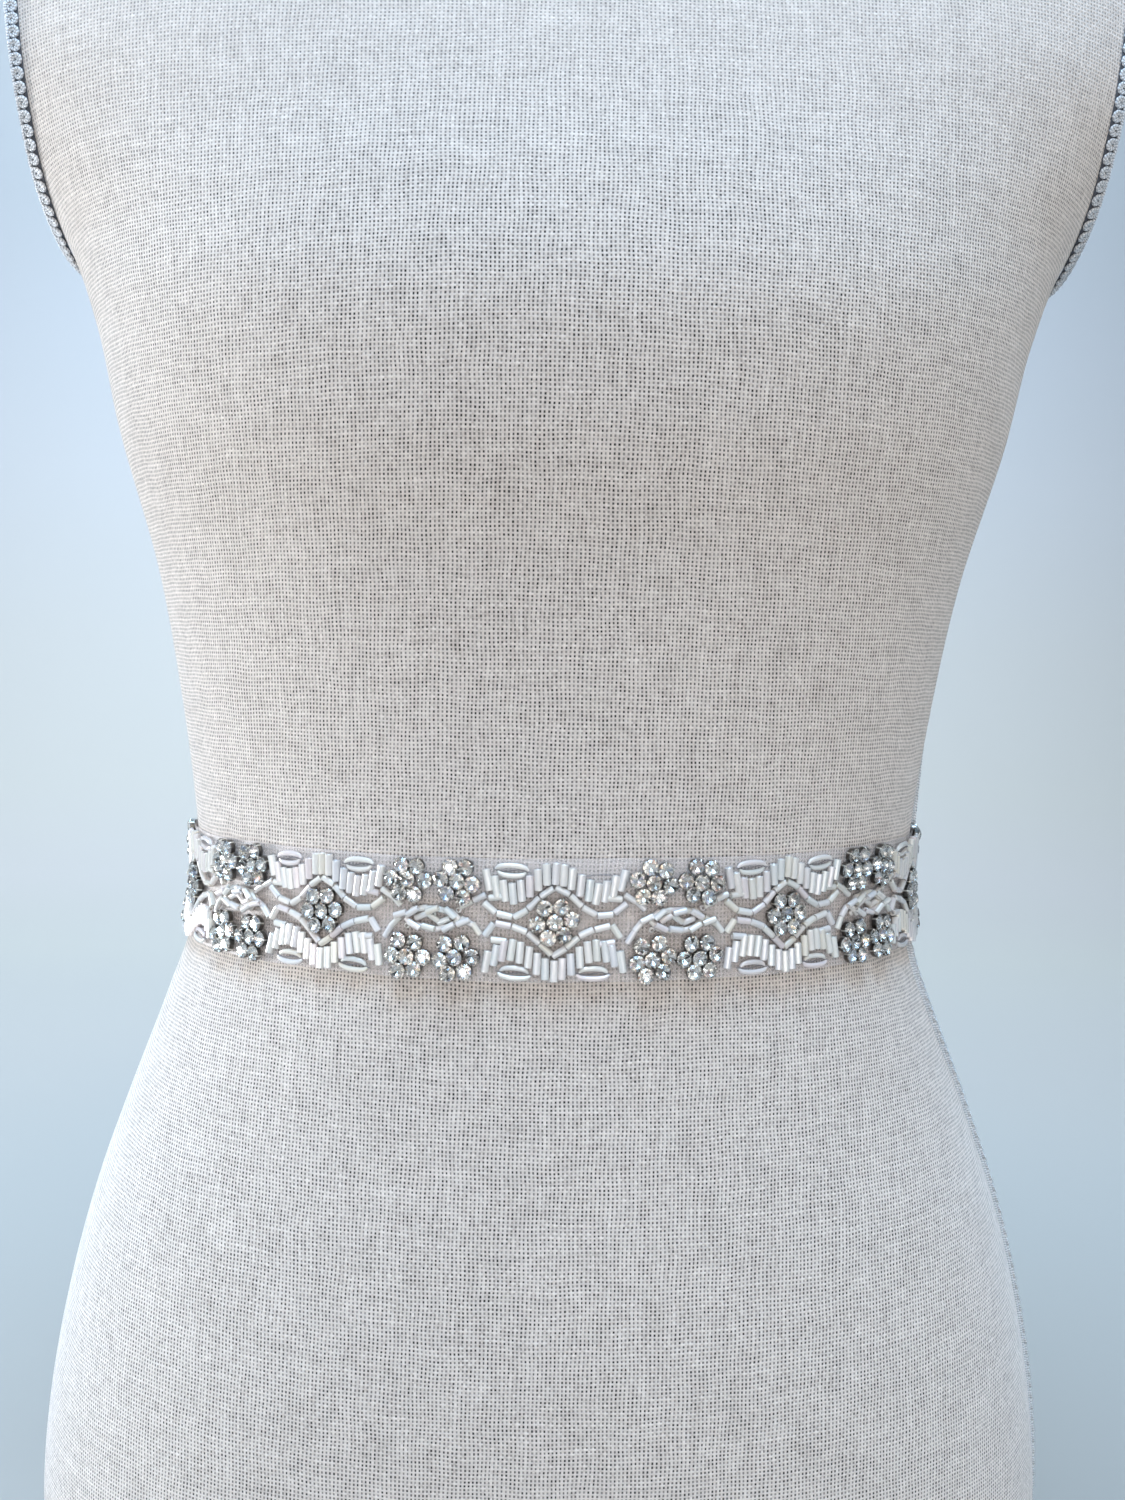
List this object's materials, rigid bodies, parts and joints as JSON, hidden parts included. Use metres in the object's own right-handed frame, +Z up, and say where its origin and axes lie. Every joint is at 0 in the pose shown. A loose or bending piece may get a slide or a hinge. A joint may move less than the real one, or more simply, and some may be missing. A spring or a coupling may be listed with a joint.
{
  "type": "bridal sash on a dress form",
  "caption": "Beaded sheer ribbon sash with stone flowers and bugle bead fans, closed at the back round the waist of a limbless linen dress form that stands flat.",
  "frame": {"origin": "middle of the dress form's flat underside, where it stands", "axes": "+Z up; the form's front and the middle of the sash face -Y; +X is to the right seen from the front"},
  "size_m": [0.3688, 0.241, 0.7223],
  "materials": {
    "linen": "open plain-weave natural linen",
    "arm_linen": "plain-weave natural linen over board",
    "neck_wood": "satin varnish",
    "organza": "sheer crisp organza under clear glass beads",
    "stones": "faceted clear stones in silver claw cups",
    "satin": "ivory satin"
  },
  "bodies": {
    "root": {"form_body": "linen", "arm_plate_left": "arm_linen", "arm_plate_right": "arm_linen", "neck_cap": "neck_wood", "sash_band": "organza", "closing_tab_inner": "satin", "closing_tab_outer": "satin", "flower_single_1": "stones", "flower_single_2": "stones", "flower_single_3": "stones", "flower_single_4": "stones", "flower_single_5": "stones", "flower_single_6": "stones", "flower_single_7": "stones", "flower_single_8": "stones", "flower_single_9": "stones", "flower_double_top_1": "stones", "flower_double_top_2": "stones", "flower_double_top_3": "stones", "flower_double_top_4": "stones", "flower_double_top_5": "stones", "flower_double_top_6": "stones", "flower_double_top_7": "stones", "flower_double_top_8": "stones", "flower_double_low_1": "stones", "flower_double_low_2": "stones", "flower_double_low_3": "stones", "flower_double_low_4": "stones", "flower_double_low_5": "stones", "flower_double_low_6": "stones", "flower_double_low_7": "stones", "flower_double_low_8": "stones", "snap_cap_1": "satin", "snap_cap_2": "satin", "snap_cap_3": "satin"}
  },
  "joints": []
}
